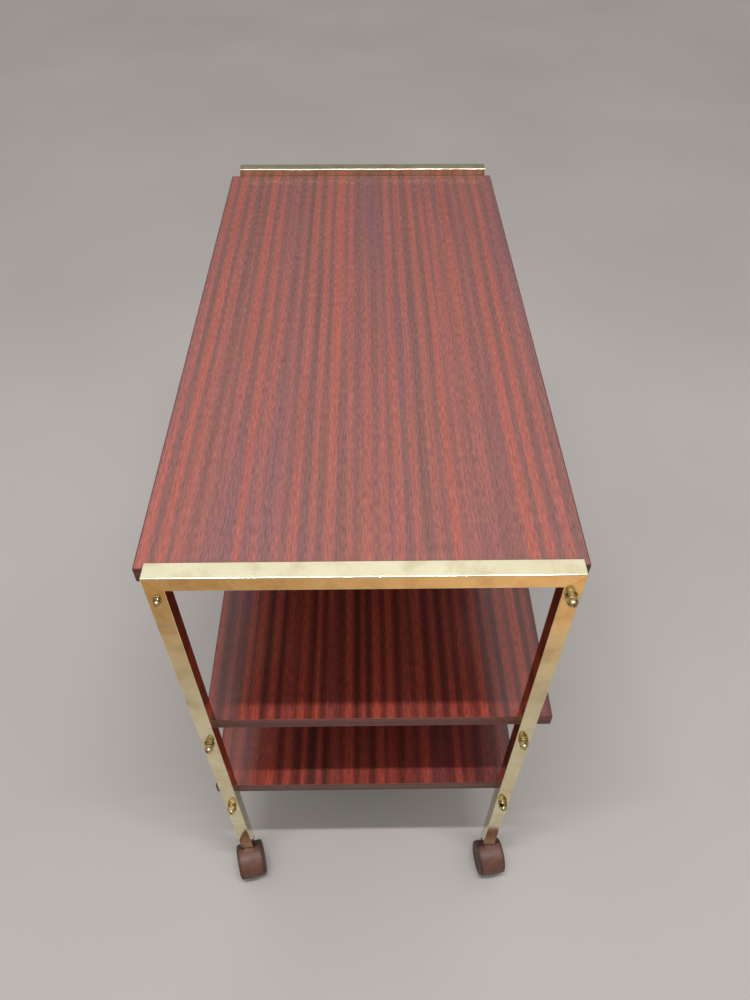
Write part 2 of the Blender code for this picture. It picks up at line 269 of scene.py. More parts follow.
# period, drift and wander of the ribbons in mm; tones run from the dark ribbon to the red one
laminateLooks = {
    "top_board": {
        "offset": (0.31, 0.10, 0), "period": 16.5, "drift": 7, "wander": 3,
        "tones": [(0.05, "#68443e"), (0.32, "#734641"), (0.55, "#824b44"), (0.80, "#8b4b43")],
        "cool": "#70484b", "flame": "#924a3e", "lines": 0.30, "figure": 0.6, "pore": 0.35,
        "roughness": (0.17, 0.27)},
    # the shelves are the same print as the top board; their darker tones paint the shade under the
    # top board
    "middle_shelf": {
        "offset": (1.77, 0.52, 0), "period": 17.5, "drift": 7, "wander": 3,
        "tones": [(0.05, "#472019"), (0.32, "#612a22"), (0.55, "#7a342b"), (0.80, "#8c3b30")],
        "cool": "#5e2e2c", "flame": "#943e2e", "lines": 0.4, "figure": 0.6, "pore": 0.4,
        "roughness": (0.16, 0.26)},
    "bottom_shelf": {
        "offset": (3.13, 1.27, 0), "period": 21.0, "drift": 8, "wander": 3,
        "tones": [(0.05, "#45201a"), (0.32, "#612a23"), (0.55, "#79332c"), (0.80, "#8b3b31")],
        "cool": "#632f30", "flame": "#923d2f", "lines": 0.4, "figure": 0.6, "pore": 0.4,
        "roughness": (0.16, 0.26)},
}


# each figure's width and length in mm and its detail; the pores are drawn coarse enough to show
grainLook = {
    "wander": (300, 450, 1.0), "drift": (48, 2500, 1.0), "cool": (60, 700, 1.0),
    "flame": (34, 900, 0.0), "pores": (0.9, 16, 1.0), "lines": (1.8, 240, 2.0),
    "figure": (1.1, 11, 1.0),
    "patchWidth": 0.9, "patchLength": 1600,                 # share of a period, mm
    "wave": 0.44, "patch": 1.3, "patchStart": -0.37,        # how they add up to the ribbons
    "poreDepth": 0.04,                                      # mm
}


def mahoganyLaminate(name, look, across="X", along="Y", values={"IOR": 1.6}):
    # printed melamine laminate: straight ribbon-stripe mahogany, glossy, with a fine
    # broken figure and short dark pores pressed into it
    material, tree, shader = newMaterial(name, values)
    where = addNode(tree, "Mapping", {}, {"Location": look["offset"]},
                    {"Vector": addNode(tree, "TexCoord").outputs["Object"]}).outputs[0]

    def grainNoise(vector, width, length, detail):
        scale = [1000 / width if axis == across else 1000 / length if axis == along else 0
                 for axis in "XYZ"]
        placed = addNode(tree, "Mapping", {}, {"Scale": scale}, {"Vector": vector})
        return addNode(tree, "TexNoise", {}, {"Scale": 1.0, "Detail": detail, "Roughness": 0.5},
                       {"Vector": placed.outputs[0]}).outputs[0]

    def spread(value, low, high, first, last):
        return addNode(tree, "MapRange", {}, {
            "From Min": low, "From Max": high, "To Min": first, "To Max": last},
            {"Value": value}).outputs[0]

    def product(first, second):
        return addNode(tree, "Math", {"operation": "MULTIPLY"}, {},
                       {0: first, 1: second}).outputs[0]

    def scaled(value, factor, offset):
        return addNode(tree, "Math", {"operation": "MULTIPLY_ADD"}, {1: factor, 2: offset},
                       {0: value}).outputs[0]

    def scaledOnto(value, factor, rest):
        return addNode(tree, "Math", {"operation": "MULTIPLY_ADD"}, {1: factor},
                       {0: value, 2: rest}).outputs[0]

    def mixed(amount, first, tone):
        return addNode(tree, "Mix", {"data_type": "RGBA"}, {7: linearOf(tone)},
                       {0: amount, 6: first}).outputs[2]

    # the ribbons keep a steady rhythm, drift a little across and fade in and out
    drift, wander = look["drift"] * millimetre, look["wander"] * millimetre
    slow = scaled(grainNoise(where, *grainLook["wander"]), 2 * wander, -drift - wander)
    sway = scaledOnto(grainNoise(where, *grainLook["drift"]), 2 * drift, slow)
    shift = addNode(tree, "CombineXYZ", {}, {}, {across: sway})
    bent = addNode(tree, "VectorMath", {"operation": "ADD"}, {},
                   {0: where, 1: shift.outputs[0]}).outputs[0]
    # a wave texture at scale 1 repeats every pi / 10 metres
    wave = addNode(tree, "TexWave", {"bands_direction": across}, {
        "Scale": math.pi / 10 / (look["period"] * millimetre)}, {"Vector": bent}).outputs[1]
    patch = grainNoise(bent, look["period"] * grainLook["patchWidth"],
                       grainLook["patchLength"], 1.0)
    ribbon = scaledOnto(wave, grainLook["wave"],
                        scaled(patch, grainLook["patch"], grainLook["patchStart"]))
    ribbons = addNode(tree, "ValToRGB", {}, {}, {0: ribbon}, stops=look["tones"]).outputs[0]
    coolness = spread(grainNoise(where, *grainLook["cool"]), 0.5, 0.68, 0, 0.7)
    cooled = mixed(coolness, ribbons, look["cool"])
    redness = product(spread(grainNoise(bent, *grainLook["flame"]), 0.42, 0.60, 0, 0.8),
                      spread(ribbon, 0.45, 0.75, 0, 1))
    warmed = mixed(redness, cooled, look["flame"])
    lines, figure = look["lines"] / 2, look["figure"] / 2
    pores = spread(grainNoise(bent, *grainLook["pores"]), 0.28, 0.40, 1 - look["pore"], 1)
    lined = spread(grainNoise(bent, *grainLook["lines"]), 0.3, 0.7, 1 - lines, 1 + lines)
    figured = spread(grainNoise(bent, *grainLook["figure"]), 0.25, 0.75, 1 - figure, 1 + figure)
    shade = product(product(lined, figured), pores)
    colour = addNode(tree, "VectorMath", {"operation": "SCALE"}, {}, {0: warmed, "Scale": shade})
    low, high = look["roughness"]
    handled = addNode(tree, "TexNoise", {}, {"Scale": 9.0, "Detail": 4.0}, {"Vector": where})
    pressed = addNode(tree, "Bump", {}, {
        "Strength": 0.5, "Distance": grainLook["poreDepth"] * millimetre}, {"Height": pores})
    tree.links.new(colour.outputs[0], shader.inputs["Base Color"])
    tree.links.new(spread(handled.outputs[0], 0.35, 0.65, low, high), shader.inputs["Roughness"])
    tree.links.new(pressed.outputs[0], shader.inputs["Normal"])
    return material


bandLook = {   # the edge band is the same print, pressed on hot: redder and more matt
    "offset": (5.2, 2.4, 0.7), "period": 14, "drift": 3, "wander": 1,
    "tones": [(0.05, "#45201b"), (0.32, "#552822"), (0.55, "#63302a"), (0.80, "#6e362e")],
    "cool": "#55302d", "flame": "#71372b", "lines": 0.3, "figure": 0.6, "pore": 0.3,
    "roughness": (0.36, 0.50)}
laminates = {name: mahoganyLaminate("mahoganyLaminate" + str(i + 1), look)
             for i, (name, look) in enumerate(laminateLooks.items())}
bandAlong = mahoganyLaminate("mahoganyEdgeBandLong", bandLook, "Z", "Y", {"IOR": 1.45})
bandEnd = mahoganyLaminate("mahoganyEdgeBandEnd", bandLook, "Z", "X", {"IOR": 1.45})
print("laminate mixed")


plasticLooks = {   # texture and relief in mm
    "mouldedBrownPolypropylene": {
        "light": "#663f31", "dark": "#55322a", "dust": "#8d7a6e", "dustAmount": 0.15,
        "roughness": (0.44, 0.56), "texture": 0.7, "relief": 0.015},
    "brownNylonWheel": {
        "light": "#523428", "dark": "#42281e", "dust": "#7c6c5e", "dustAmount": 0.10,
        "roughness": (0.42, 0.56), "texture": 0.8, "relief": 0.015},
    "wornTread": {
        "light": "#462d25", "dark": "#33201a", "dust": "#80756b", "dustAmount": 0.35,
        "roughness": (0.48, 0.66), "texture": 1.2, "relief": 0.04},
    "blackPolyethylene": {
        "light": "#2a2624", "dark": "#1a1716", "dust": "#6a625c", "dustAmount": 0.2,
        "roughness": (0.40, 0.55), "texture": 0.7, "relief": 0.02},
    # a dark sheet on the boards' undersides, which paints the shade under them
    "darkBackingPaintedShade": {
        "light": "#3b2720", "dark": "#2e1d18", "dust": "#5c4a40", "dustAmount": 0.2,
        "roughness": (0.45, 0.60), "texture": 1.5, "relief": 0.02},
}


def mouldedPlastic(name, look):
    # moulded plastic, or the dark backing sheet under the boards, which paints their shade: satin,
    # with a fine stipple and dust in it
    material, tree, shader = newMaterial(name, {"IOR": 1.49})
    where = addNode(tree, "TexCoord").outputs["Object"]
    flow = addNode(tree, "TexNoise", {}, {"Scale": 60.0, "Detail": 3.0}, {"Vector": where})
    stipple = addNode(tree, "TexNoise", {}, {"Scale": 1000 / look["texture"], "Detail": 2.0},
                      {"Vector": where})
    dirt = addNode(tree, "TexNoise", {}, {"Scale": 130.0, "Detail": 5.0, "Roughness": 0.65},
                   {"Vector": where})
    tone = addNode(tree, "ValToRGB", {}, {}, {0: flow.outputs[0]},
                   stops=[(0.35, look["dark"]), (0.65, look["light"])])
    amount = addNode(tree, "MapRange", {}, {
        "From Min": 0.48, "From Max": 0.72, "To Max": look["dustAmount"]},
        {"Value": dirt.outputs[0]})
    colour = addNode(tree, "Mix", {"data_type": "RGBA"}, {7: linearOf(look["dust"])},
                     {0: amount.outputs[0], 6: tone.outputs[0]})
    low, high = look["roughness"]
    rough = addNode(tree, "MapRange", {}, {
        "From Min": 0.3, "From Max": 0.7, "To Min": low, "To Max": high},
        {"Value": dirt.outputs[0]})
    relief = addNode(tree, "Bump", {}, {"Strength": 0.6, "Distance": look["relief"] * millimetre},
                     {"Height": stipple.outputs[0]})
    tree.links.new(colour.outputs[2], shader.inputs["Base Color"])
    tree.links.new(rough.outputs[0], shader.inputs["Roughness"])
    tree.links.new(relief.outputs[0], shader.inputs["Normal"])
    return material


steelLook = {
    "tones": [(0.35, "#8f8263"), (0.55, "#cbbd94"), (0.70, "#ab986c")],
    "linesAlong": 15, "linesAcross": 1400,                  # lines per metre
    "scratch": 0.02, "roughness": (0.22, 0.48),             # mm deep
}


def platedSteel(name, along):
    # yellow-passivated zinc plate on drawn bar: a warm straw grey with drawing lines
    material, tree, shader = newMaterial(name, {"Metallic": 1.0})
    where = addNode(tree, "TexCoord").outputs["Object"]
    scale = [steelLook["linesAlong"] if axis == along else steelLook["linesAcross"]
             for axis in "XYZ"]
    lines = addNode(tree, "TexNoise", {}, {"Scale": 1.0, "Detail": 2.0}, {
        "Vector": addNode(tree, "Mapping", {}, {"Scale": scale}, {"Vector": where}).outputs[0]})
    bloom = addNode(tree, "TexNoise", {}, {"Scale": 90.0, "Detail": 4.0}, {"Vector": where})
    tone = addNode(tree, "ValToRGB", {}, {}, {0: bloom.outputs[0]}, stops=steelLook["tones"])
    low, high = steelLook["roughness"]
    rough = addNode(tree, "MapRange", {}, {"To Min": low, "To Max": high},
                    {"Value": bloom.outputs[0]})
    drawn = addNode(tree, "Bump", {}, {
        "Strength": 0.3, "Distance": steelLook["scratch"] * millimetre},
        {"Height": lines.outputs[0]})
    tree.links.new(tone.outputs[0], shader.inputs["Base Color"])
    tree.links.new(rough.outputs[0], shader.inputs["Roughness"])
    tree.links.new(drawn.outputs[0], shader.inputs["Normal"])
    return material


brownBody, brownWheel, wornTread, blackPlug, shadeBackingSheet = [
    mouldedPlastic(name, look) for name, look in plasticLooks.items()]
steelAlongY = platedSteel("zincPlatedRod", "Y")
steelUpright = platedSteel("zincPlatedStem", "Z")
steelAcross = platedSteel("zincPlatedAxle", "X")
print("plastics and steel mixed")


tubeLook = {   # mm
    "edge": 1.2, "edgeSteps": 4, "wall": 1.5, "holeRadius": 3.4, "holeSides": 32}


def uShape(low, high, tube, inset, bottom):
    # two legs and a bar, mitred at the corners, from the outline of one end frame
    xs = (low.x + inset, low.x + tube - inset, high.x - tube + inset, high.x - inset)
    top, under = high.z - inset, high.z - tube + inset
    bm = bmesh.new()
    y = low.y + inset
    outer = [bm.verts.new(p) for p in ((xs[0], y, bottom), (xs[0], y, top),
                                       (xs[3], y, top), (xs[3], y, bottom))]
    inner = [bm.verts.new(p) for p in ((xs[1], y, bottom), (xs[1], y, under),
                                       (xs[2], y, under), (xs[2], y, bottom))]
    faces = [bm.faces.new((outer[i], outer[i + 1], inner[i + 1], inner[i])) for i in range(3)]
    thicken(bm, faces, (0, high.y - low.y - 2 * inset, 0))
    return bm


def rodHoles(low, high, radius, sides):
    # one round hole through each leg at each tie rod
    bm = bmesh.new()
    for level in ("top", "middle", "bottom"):
        for side in ("left", "right"):
            rodLow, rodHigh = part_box(f"{level}_{side}_tie_rod")
            middle = (rodLow + rodHigh) / 2
            middle.y = (low.y + high.y) / 2
            lying = Matrix.Translation(middle) @ Matrix.Rotation(math.radians(90), 4, "X")
            bmesh.ops.create_cone(bm, cap_ends=True, segments=sides, matrix=lying,
                                  radius1=radius * millimetre, radius2=radius * millimetre,
                                  depth=2 * (high.y - low.y))
    return meshOf(bm)


for end in ("near", "far"):
    low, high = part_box(end + "_end_frame")
    tube = high.y - low.y
    bm = uShape(low, high, tube, 0, low.z)
    softEdges(bm, tubeLook["edge"], tubeLook["edgeSteps"])
    hollow = meshOf(uShape(low, high, tube, tubeLook["wall"] * millimetre, low.z - tube))
    holes = rodHoles(low, high, tubeLook["holeRadius"], tubeLook["holeSides"])
    mesh = carved(meshOf(bm), ("DIFFERENCE", hollow), ("DIFFERENCE", holes))
    middle = (low.x + high.x) / 2
    halfWidth = (high.x - low.x) / 2
    mesh = shaded(mesh)
    obj = place(end + "EndFrame", mesh, Matrix(), [brassUpright, brassBarPaintedHighlight],
                "trolley_frame", end + "_end_frame")
    # the bar's faces take the paler brass, which carries the painted highlight
    for face in obj.data.polygons:
        inBar = high.z - face.center.z < halfWidth - abs(face.center.x - middle)
        face.material_index = 1 if inBar else 0
print("end frames built")


boardLook = {
    "edge": 0.6, "edgeSteps": 3, "bandThickness": 0.8, "seam": 0.25, "seamDepth": 0.12,   # mm
    "sheetArea": 0.1,   # square metres; no other face of a board is as large
}


def makeBoard(node, name, laminate):
    low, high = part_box(node)
    mesh = block(low / millimetre, high / millimetre, boardLook["edge"], boardLook["edgeSteps"])
    bm = bmesh.new()
    bm.from_mesh(mesh)
    flats = [f for f in bm.faces if f.calc_area() > boardLook["sheetArea"]]
    for face in flats:   # the joint line between the sheet and the edge band
        for thickness, depth in ((boardLook["bandThickness"] - boardLook["edge"], 0),
                                 (boardLook["seam"] / 2, -boardLook["seamDepth"]),
                                 (boardLook["seam"] / 2, boardLook["seamDepth"])):
            bmesh.ops.inset_region(bm, faces=[face], thickness=thickness * millimetre,
                                   depth=depth * millimetre, use_even_offset=True)
    mesh = shaded(meshOf(bm))
    obj = place(name, mesh, Matrix(), [laminate, bandAlong, bandEnd, shadeBackingSheet],
                "trolley_frame", node)
    for face in obj.data.polygons:
        normal = face.normal
        if abs(normal.z) < 0.5:
            face.material_index = 1 if abs(normal.x) > abs(normal.y) else 2
        elif face.area < boardLook["sheetArea"]:
            face.material_index = 1
        # faces that look down take the dark backing sheet: painted shade under the boards
        elif normal.z < 0:
            face.material_index = 3


for node, name in (("top_board", "topBoard"), ("middle_shelf", "middleShelf"),
                   ("bottom_shelf", "bottomShelf")):
    makeBoard(node, name, laminates[node])
print("boards built")


rodLook = {"radius": 3.0, "chamfer": 0.5, "sides": 32}   # mm
washerLook = {"bore": 3.3, "round": 0.35, "sides": 48}   # mm
nutLook = {   # mm
    "acrossFlats": 10.0, "hexHeight": 4.5, "chamfer": 0.6, "collarRadius": 4.72,
    "domeRadius": 4.5, "height": 9.2, "bore": 3.3, "boreDepth": 6.8, "sides": 48,
}
nutTurns = (8, 23, 32, 15, 52, 33, 4, 47, 19, 28, 56, 37)   # each was tightened to its own angle


def tieRod(halfLength, roundEnd):
    # the end that points near is chamfered, or rounded where it has no cap nut
    radius, cut = rodLook["radius"], rodLook["chamfer"]
    end = [(radius - cut, halfLength), (radius, halfLength - cut)]
    if roundEnd:
        end = arc((0, halfLength - radius * 0.85), radius, 90, 0, 8)[1:]
        end = [(r, min(h, halfLength)) for r, h in end]
    return shaded(turned([(0, halfLength), *end, (radius, cut - halfLength),
                          (radius - cut, -halfLength), (0, -halfLength)], rodLook["sides"]))


def washer(outer, top):
    look = washerLook
    soft, bore = min(look["round"], top * 0.45), look["bore"]
    profile = [*arc((bore + soft, soft), soft, 180, 270, 3),
               *arc((outer - soft, soft), soft, 270, 360, 3),
               *arc((outer - soft, top - soft), soft, 0, 90, 3),
               *arc((bore + soft, top - soft), soft, 90, 180, 3)]
    return shaded(turned(profile, look["sides"], closed=True))


def capNut():
    # a hexagon with both faces chamfered by turning, a collar, and a dome over a blind bore
    look = nutLook
    corner = look["acrossFlats"] / math.sqrt(3)
    flat = look["acrossFlats"] / 2
    high, cut = look["hexHeight"], look["chamfer"]
    bm = bmesh.new()
    bmesh.ops.create_cone(bm, cap_ends=True, segments=6, radius1=corner * millimetre,
                          radius2=corner * millimetre, depth=high * millimetre)
    bmesh.ops.translate(bm, vec=(0, 0, high / 2 * millimetre), verts=bm.verts)
    envelope = turned([(0, high), (flat - 0.15, high), (corner + 0.1, high - cut),
                       (corner + 0.1, cut / 2), (flat - 0.1, 0), (0, 0)], look["sides"])
    collar, dome = look["collarRadius"], look["domeRadius"]
    rise = high + 0.5
    foot = look["height"] - dome
    cap = turned([(0, look["height"]), *arc((0, foot), dome, 90, 0, 10)[1:], (dome, rise + 0.3),
                  (collar, rise), (collar, high / 2), (0, high / 2)], look["sides"])
    bore = turned([(0, look["boreDepth"]), (look["bore"], look["boreDepth"]),
                   (look["bore"], -1), (0, -1)], look["sides"])
    return shaded(carved(meshOf(bm), ("INTERSECT", envelope), ("UNION", cap),
                         ("DIFFERENCE", bore)))


nutMesh = capNut()
turn = 0
for level in ("top", "middle", "bottom"):
    for side in ("left", "right"):
        node = f"{level}_{side}_tie_rod"
        low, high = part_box(node)
        middle = (low + high) / 2
        alongY = Matrix.Rotation(math.radians(90), 4, "X")
        bare = f"{level}_{side}_near_cap_nut" not in frame["nodes"]
        rodMesh = tieRod((high.y - low.y) / 2 / millimetre, bare)
        place(f"{level}{side.title()}TieRod", rodMesh, Matrix.Translation(middle) @ alongY,
              [steelAlongY], "trolley_frame", node)
        for end, sign in (("near", -1), ("far", 1)):
            outward = Matrix.Rotation(math.radians(-90 * sign), 4, "X")
            for kind, angle in (("washer", 0), ("cap_nut", nutTurns[turn])):
                node = f"{level}_{side}_{end}_{kind}"
                if node not in frame["nodes"]:
                    continue
                low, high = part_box(node)
                mesh = nutMesh if kind == "cap_nut" else washer(
                    (high.x - low.x) / 2 / millimetre, (high.y - low.y) / millimetre)
                foot = Vector((middle.x, high.y if sign < 0 else low.y, middle.z))
                spun = Matrix.Rotation(math.radians(angle), 4, "Z")
                label = f"{level}{side.title()}{end.title()}" + (
                    "Washer" if kind == "washer" else "CapNut")
                place(label, mesh, Matrix.Translation(foot) @ outward @ spun, [brassTurned],
                      "trolley_frame", node)
            turn += 1
print("tie rods, washers and cap nuts built")


casterLook = {   # mm; angles are about the axle, 90 is up and 180 is away from the stem
    "trail": 17.0, "axleHeight": 24.786,
    "hoodOuter": 26.2, "hoodInner": 25.4, "hoodHalf": 15.5, "hoodCrown": 0.45,
    "hoodFirst": 70, "hoodLast": 170, "hoodSteps": 30,
    "webHalf": 7.0, "webRadius": 26.0, "finAngle": 205, "hubRadius": 14.0, "hubAngle": 325,
    "bossRadius": 7.0, "bossBottom": 20.0,
    "collarRadius": 8.4, "collarBottom": 44.4, "collarTop": 50.9, "collarSides": 48,
    "edge": 0.7, "stemBore": 4.3, "stemBoreBottom": 28.7, "axleBore": 3.3, "boreSides": 32,
}
wheelLook = {   # mm
    "radius": 24.786, "width": 12.0, "innerFace": 7.3, "shoulder": 3.2, "sides": 72,
    "cap": 7.6, "dish": 10.55, "rim": 17.2, "floor": 10.8, "bore": 3.3, "boreDepth": 8.8,
}
stemLook = {"radius": 4.0, "point": 3.0, "neck": 3.1, "sides": 32}              # mm
axleLook = {"half": 15.8, "radius": 3.0, "chamfer": 0.5, "sides": 32}           # mm
plugLook = {"inset": 1.8, "flange": 1.3, "bodyEdge": 0.8, "flangeEdge": 0.35,   # mm
            "bore": 4.3, "sides": 32}


def casterBody():
    look = casterLook
    axle = (-look["trail"], look["axleHeight"])
    top = axle[1] + look["webRadius"]
    web = [(look["bossRadius"], look["bossBottom"]), (look["bossRadius"], top), (axle[0], top),
           *arc(axle, look["webRadius"], 94, look["finAngle"], 26),
           *arc(axle, look["hubRadius"], look["finAngle"], look["hubAngle"], 16)]
    # the hood's section, crowned across its width, spun about the axle
    half, inner, outer = look["hoodHalf"], look["hoodInner"], look["hoodOuter"]
    shares = (-0.98, -0.9, -0.7, -0.4, 0, 0.4, 0.7, 0.9, 0.98)
    crown = [(half * t, outer - look["hoodCrown"] * t ** 4) for t in shares]
    lip = outer - look["hoodCrown"] - 0.2
    section = [*crown, (half, lip), (half, inner + 0.1), (half - 0.1, inner),
               (0.1 - half, inner), (-half, inner + 0.1), (-half, lip)]
    bm = bmesh.new()
    face = bm.faces.new([bm.verts.new(Vector((x, axle[0] + r, axle[1])) * millimetre)
                         for x, r in section])
    centre = Vector((0, *axle)) * millimetre
    bmesh.ops.rotate(bm, verts=bm.verts, cent=centre,
                     matrix=Matrix.Rotation(math.radians(look["hoodFirst"]), 3, "X"))
    bmesh.ops.spin(bm, geom=[face, *face.edges, *face.verts], cent=centre, axis=(1, 0, 0),
                   angle=math.radians(look["hoodLast"] - look["hoodFirst"]),
                   steps=look["hoodSteps"])
    bmesh.ops.holes_fill(bm, edges=[e for e in bm.edges if len(e.link_faces) == 1])
    tidyNormals(bm)
    hood = meshOf(bm)
    wide, foot, top = look["collarRadius"], look["collarBottom"], look["collarTop"]
    collar = turned([(0, top), (wide - 0.6, top), (wide, top - 0.6), (wide, foot + 0.8),
                     (wide - 0.8, foot), (0, foot)], look["collarSides"])
    stemBore = turned([(0, 60), (look["stemBore"], 60), (look["stemBore"], look["stemBoreBottom"]),
                       (0, look["stemBoreBottom"])], look["boreSides"])
    axleBore = turned([(0, 20), (look["axleBore"], 20), (look["axleBore"], -20), (0, -20)],
                      look["boreSides"])
    axleBore.transform(Matrix.Translation(centre) @ Matrix.Rotation(math.radians(90), 4, "Y"))
    return shaded(carved(slab(web, look["webHalf"], look["edge"]), ("UNION", hood),
                         ("UNION", collar), ("DIFFERENCE", stemBore), ("DIFFERENCE", axleBore)))


def wheel():
    # inner face at 0, outer face up: domed cap, dished ring, raised rim, round shoulder,
    # crowned tread
    look = wheelLook
    radius, width, soft = look["radius"], look["width"], look["shoulder"]
    cap, dish, rim, floor = look["cap"], look["dish"], look["rim"], look["floor"]
    outer = width - 0.05
    profile = [
        (0, outer), (cap * 0.5, outer - 0.08), (cap * 0.85, outer - 0.3), (cap, outer - 0.6),
        (cap + 0.25, floor + 0.1), (cap + 0.6, floor), (dish, floor - 0.05), (rim - 1.6, floor),
        (rim - 0.9, floor + 0.12), (rim - 0.45, outer - 0.35), (rim, outer - 0.05),
        (rim + 0.5, outer),
        *arc((radius - 0.15 - soft, outer - soft), soft, 90, 10, 7),
        (radius - 0.03, width * 0.62), (radius, width * 0.42), (radius - 0.04, width * 0.2),
        *arc((radius - 0.7, 0.6), 0.6, 0, -90, 4), (14, 0), (look["bore"], 0),
        (look["bore"], look["boreDepth"]), (0, look["boreDepth"]),
    ]
    return shaded(turned(profile, look["sides"]))


def stem(bottom, top):
    # the groove near the top is what the leg's plug snaps into
    look = stemLook
    radius, point, neck = look["radius"], look["point"], look["neck"]
    return shaded(turned([
        (0, top), (point, top), (radius - 0.3, top - 0.5), (radius, top - 1.2), (radius, top - 6),
        (neck, top - 6.3), (point, top - 7), (point, top - 8.4), (neck, top - 9),
        (radius, top - 9.3), (radius, bottom + 0.5), (radius - 0.5, bottom), (0, bottom)],
        look["sides"]))


def axlePin():
    half, radius, cut = axleLook["half"], axleLook["radius"], axleLook["chamfer"]
    return shaded(turned([(0, half), (radius - cut, half), (radius, half - cut),
                          (radius, cut - half), (radius - cut, -half), (0, -half)],
                         axleLook["sides"]))


def plug(low, high):
    # a square plug with its flange, bored for the stem
    look = plugLook
    inset, flange, bore = look["inset"], look["flange"], look["bore"]
    size = (high - low) / millimetre
    half = size.x / 2
    body = block((inset - half, inset - half, flange * 0.6), (half - inset, half - inset, size.z),
                 look["bodyEdge"])
    plate = block((-half, -half, 0), (half, half, flange), look["flangeEdge"])
    hole = turned([(0, 60), (bore, 60), (bore, -10), (0, -10)], look["sides"])
    return shaded(carved(body, ("UNION", plate), ("DIFFERENCE", hole)))


bodyMesh, wheelMesh = casterBody(), wheel()
joints = {joint["name"]: joint for joint in frame["joints"]}
for end in ("near", "far"):
    for side in ("left", "right"):
        corner = f"{end}_{side}"
        label = end + side.title()
        pivot = Vector(joints[corner + "_caster_swivel"]["pos_m"])
        pivot.z = 0
        across = Vector(joints[corner + "_right_wheel_roll"]["axis"])
        backward = Vector((0, 0, 1)).cross(across)
        swung = Matrix((across, backward, (0, 0, 1))).transposed().to_4x4()
        swung.translation = pivot
        place(label + "CasterBody", bodyMesh, swung, [brownBody], corner + "_caster",
              corner + "_caster_body")
        hub = Matrix.Translation(
            Vector((0, -casterLook["trail"], casterLook["axleHeight"])) * millimetre)
        for hand, sign in (("left", -1), ("right", 1)):
            onEdge = Matrix.Rotation(math.radians(90 * sign), 4, "Y")
            out = Matrix.Translation((sign * wheelLook["innerFace"] * millimetre, 0, 0))
            obj = place(f"{label}{hand.title()}Wheel", wheelMesh, swung @ hub @ out @ onEdge,
                        [brownWheel, wornTread], f"{corner}_{hand}_wheel",
                        f"{corner}_caster_{hand}_wheel")
            for face, plain in zip(obj.data.polygons, wheelMesh.polygons):
                reach = plain.center.xy.length / millimetre
                face.material_index = 1 if reach > wheelLook["radius"] - 0.5 else 0
        place(label + "CasterAxle", axlePin(),
              swung @ hub @ Matrix.Rotation(math.radians(90), 4, "Y"), [steelAcross],
              corner + "_caster", corner + "_caster_axle")
        low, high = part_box(corner + "_caster_stem")
        place(label + "CasterStem", stem(low.z / millimetre, high.z / millimetre),
              Matrix.Translation(pivot), [steelUpright], "trolley_frame",
              corner + "_caster_stem")
        low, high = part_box(corner + "_caster_insert")
        place(label + "CasterInsert", plug(low, high),
              Matrix.Translation((pivot.x, pivot.y, low.z)), [blackPlug], "trolley_frame",
              corner + "_caster_insert")
print("casters built")


studio = {
    "floorSize": 30, "floorTones": [(0.3, "#aaa6a4"), (0.7, "#b2aeab")],
    "roomStrength": 1.06,
    "behind": 0.74, "behindFrom": 0.62, "behindTo": 0.93,   # the room is dimmer beyond the far end
    "stripHeight": 2.6, "stripAhead": 0.256, "stripSize": (1.4, 0.05), "stripPower": 38,
    # size and colours of the glowing panel that paints a warm reflection into the brass
    "cardFrom": 0.26, "cardTo": 0.85, "cardHalf": 0.6, "cardFade": 0.25, "cardBlend": 0.3,
    "cardRim": "#aaa5a0", "cardLeft": "#ac8254", "cardRight": "#dcaa78",
}

bm = bmesh.new()
bmesh.ops.create_grid(bm, x_segments=1, y_segments=1, size=studio["floorSize"] / 2)
floor = bpy.data.objects.new("studioFloor", meshOf(bm))
bpy.context.scene.collection.objects.link(floor)
# painted concrete: matt pale grey, faintly mottled
material, tree, shader = newMaterial("paintedFloor", {"Roughness": 0.8, "Specular IOR Level": 0.0})
mottle = addNode(tree, "TexNoise", {}, {"Scale": 1.2, "Detail": 3.0},
                 {"Vector": addNode(tree, "TexCoord").outputs["Object"]})
shade = addNode(tree, "ValToRGB", {}, {}, {0: mottle.outputs[0]}, stops=studio["floorTones"])
tree.links.new(shade.outputs[0], shader.inputs["Base Color"])
floor.data.materials.append(material)

# soft room light: bright overhead, dimmer towards the floor
world = bpy.data.worlds.new("softRoom")
bpy.context.scene.world = world
world.use_nodes = True
tree = world.node_tree
aim = addNode(tree, "SeparateXYZ", {}, {}, {0: addNode(tree, "TexCoord").outputs["Generated"]})
sky = addNode(tree, "ValToRGB", {}, {}, {0: aim.outputs["Z"]},
              stops=[(0.0, "#85817e"), (0.40, "#95918e"), (0.62, "#dedbd7"), (0.85, "#faf8f5"),
                     (1.0, "#fbf9f7")])
behind = addNode(tree, "MapRange", {}, {
    "From Min": studio["behindFrom"], "From Max": studio["behindTo"],
    "To Min": 1.0, "To Max": studio["behind"]}, {"Value": aim.outputs["Y"]})
dimmed = addNode(tree, "VectorMath", {"operation": "SCALE"}, {},
                 {0: sky.outputs[0], "Scale": behind.outputs[0]})
tree.links.new(dimmed.outputs[0], tree.nodes["Background"].inputs["Color"])
tree.nodes["Background"].inputs["Strength"].default_value = studio["roomStrength"]

frameLow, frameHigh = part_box("near_end_frame")
centreX = (frameLow.x + frameHigh.x) / 2

strip = bpy.data.lights.new("ceilingStrip", "AREA")
strip.shape = "RECTANGLE"
strip.size, strip.size_y = studio["stripSize"]
strip.energy = studio["stripPower"]
stripObject = bpy.data.objects.new("ceilingStrip", strip)
stripObject.location = (centreX, frameLow.y - studio["stripAhead"], studio["stripHeight"])
bpy.context.scene.collection.objects.link(stripObject)
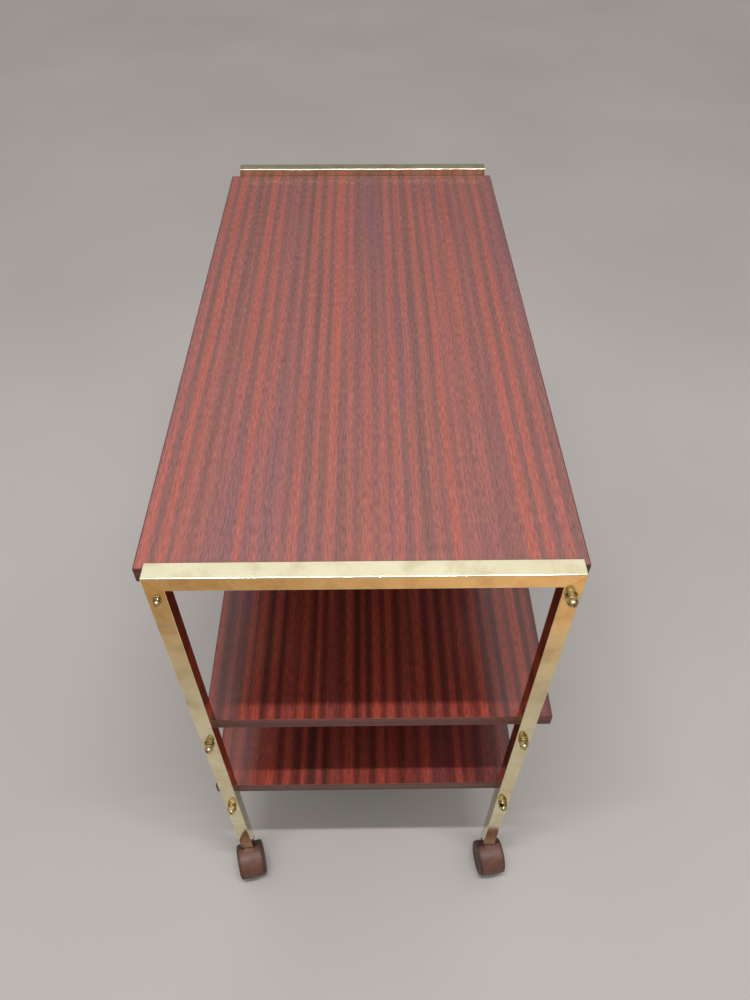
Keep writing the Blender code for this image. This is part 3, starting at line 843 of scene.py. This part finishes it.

# a glowing panel low in front, which is no lamp and lights nothing: seen only in reflections, it
# paints the warm reflection that gives the bar's outer face its gold
card = block(Vector((-studio["cardHalf"], -studio["cardTo"], 0.001)) / millimetre,
             Vector((studio["cardHalf"], -studio["cardFrom"], 0.003)) / millimetre)
cardObject = bpy.data.objects.new("paintedReflectionPanel", card)
cardObject.data.transform(Matrix.Translation((centreX, frameLow.y, 0)))
bpy.context.scene.collection.objects.link(cardObject)
material, tree, shader = newMaterial("paintedReflectionPanel", {"Base Color": (0, 0, 0, 1)})
where = addNode(tree, "SeparateXYZ", {}, {}, {0: addNode(tree, "TexCoord").outputs["Object"]})
rim = frameLow.y - studio["cardFrom"]
fade = addNode(tree, "MapRange", {}, {"From Min": rim, "From Max": rim - studio["cardFade"]},
               {"Value": where.outputs["Y"]})
sideways = addNode(tree, "MapRange", {}, {
    "From Min": centreX - studio["cardBlend"], "From Max": centreX + studio["cardBlend"]},
    {"Value": where.outputs["X"]})
warmth = addNode(tree, "ValToRGB", {}, {}, {0: sideways.outputs[0]},
                 stops=[(0.0, studio["cardLeft"]), (1.0, studio["cardRight"])])
tint = addNode(tree, "Mix", {"data_type": "RGBA"}, {6: linearOf(studio["cardRim"])},
               {0: fade.outputs[0], 7: warmth.outputs[0]})
tree.links.new(tint.outputs[2], shader.inputs["Emission Color"])
shader.inputs["Emission Strength"].default_value = 1.0
card.materials.append(material)
for kind in ("camera", "diffuse", "shadow", "transmission", "volume_scatter"):
    setattr(cardObject, "visible_" + kind, False)

# the camera stands in front of the near end and looks down along the trolley
cameraLook = {"right": 0.0024, "ahead": 0.3817, "height": 1.2374,
              "yaw": 0.912, "pitch": 47.47, "roll": 0.198, "lens": 27.13}
yaw, pitch, roll = [math.radians(cameraLook[key]) for key in ("yaw", "pitch", "roll")]
forward = Vector((math.sin(yaw) * math.cos(pitch), math.cos(yaw) * math.cos(pitch),
                  -math.sin(pitch)))
level = Vector((math.cos(yaw), -math.sin(yaw), 0))
upward = level.cross(forward)
rightward = level * math.cos(roll) + upward * math.sin(roll)
turnedUp = upward * math.cos(roll) - level * math.sin(roll)
camera = bpy.data.cameras.new("camera")
camera.lens = cameraLook["lens"]
cameraObject = bpy.data.objects.new("camera", camera)
stance = Matrix((rightward, turnedUp, -forward)).transposed().to_4x4()
stance.translation = (centreX + cameraLook["right"], frameLow.y - cameraLook["ahead"],
                      cameraLook["height"])
cameraObject.matrix_world = stance
bpy.context.scene.collection.objects.link(cameraObject)
bpy.context.scene.camera = cameraObject
bpy.context.scene.view_settings.view_transform = "Standard"
print("floor, light and camera set")
